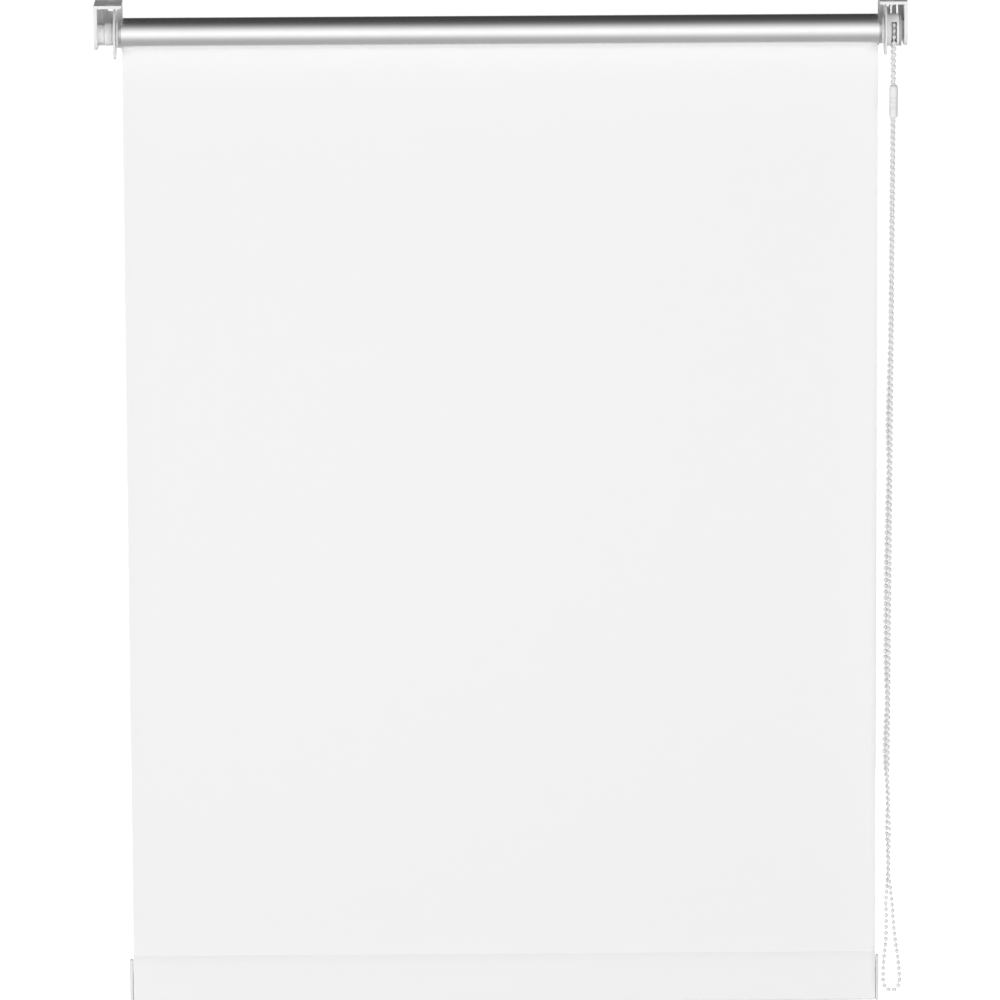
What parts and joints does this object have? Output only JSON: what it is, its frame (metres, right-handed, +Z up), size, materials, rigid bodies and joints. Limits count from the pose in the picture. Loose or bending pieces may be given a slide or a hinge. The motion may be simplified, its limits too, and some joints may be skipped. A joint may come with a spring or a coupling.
{
  "type": "chain-operated roller blind",
  "caption": "White fabric roller blind with a silver back coating, moulded end brackets, bead-chain clutch, spring-pin idler and weighted hem.",
  "frame": {"origin": "on the wall plane that the brackets' backs rest on, midway between the brackets, level with the tube's axis", "axes": "+X along the tube towards the chain side, +Y into the wall, +Z up"},
  "size_m": [0.8, 0.055, 1.0163],
  "materials": {
    "white_plastic": "satin white injection-moulded plastic",
    "grey_plastic": "matt grey moulded plastic",
    "chain_plastic": "white plastic beads on a white cord",
    "steel": "bright zinc-plated steel",
    "aluminium": "mill-finish extruded aluminium",
    "white_cloth": "fine plain-weave white polyester",
    "silver_cloth": "silver pearl thermal coating on woven polyester"
  },
  "bodies": {
    "root": {"left_bracket": "white_plastic", "right_bracket": "white_plastic", "clutch_core": "grey_plastic", "clutch_washer": "steel", "clutch_screw": "steel", "brake_spring_1": "steel", "brake_spring_2": "steel", "clutch_disc": "white_plastic", "clutch_housing": "white_plastic", "hanging_fabric": "white_cloth", "chain_wrap": "chain_plastic", "bead_chain": "chain_plastic"},
    "roller": {"roller_tube": "aluminium", "fabric_roll": "silver_cloth", "fabric_tape": "grey_plastic", "idle_plug": "white_plastic", "idle_disc": "white_plastic", "drive_plug": "white_plastic", "sprocket": "grey_plastic"},
    "idle_pin": {"idle_pin": "steel", "idle_spring": "steel"},
    "hem": {"hem_pocket": "white_cloth", "hem_bar": "aluminium", "hem_cap_left": "white_plastic", "hem_cap_right": "white_plastic"},
    "connector": {"chain_connector": "white_plastic"}
  },
  "joints": [
    {"name": "roller_spin", "type": "hinge", "parent": "root", "child": "roller", "pos_m": [0, -0.03, 0], "axis": [1, 0, 0], "range_deg": [0, 3210], "deforming": ["chain_wrap"]},
    {"name": "hem_lift", "type": "slide", "parent": "root", "child": "hem", "axis": [0, 0, 1], "range_m": [0, 0.897], "deforming": ["hanging_fabric"]},
    {"name": "connector_travel", "type": "slide", "parent": "root", "child": "connector", "axis": [-0.0057, 0.0047, -1], "range_m": [0, 0.643]},
    {"name": "idle_pin_slide", "type": "slide", "parent": "roller", "child": "idle_pin", "axis": [1, 0, 0], "range_m": [0, 0.008], "stiffness_N_per_m": 600, "springref_m": -0.004, "deforming": ["idle_spring"]}
  ],
  "couplings": [
    {"joint": "hem_lift", "follows": "roller_spin", "m_per_rad": 0.016},
    {"joint": "connector_travel", "follows": "roller_spin", "m_per_rad": 0.011459}
  ]
}
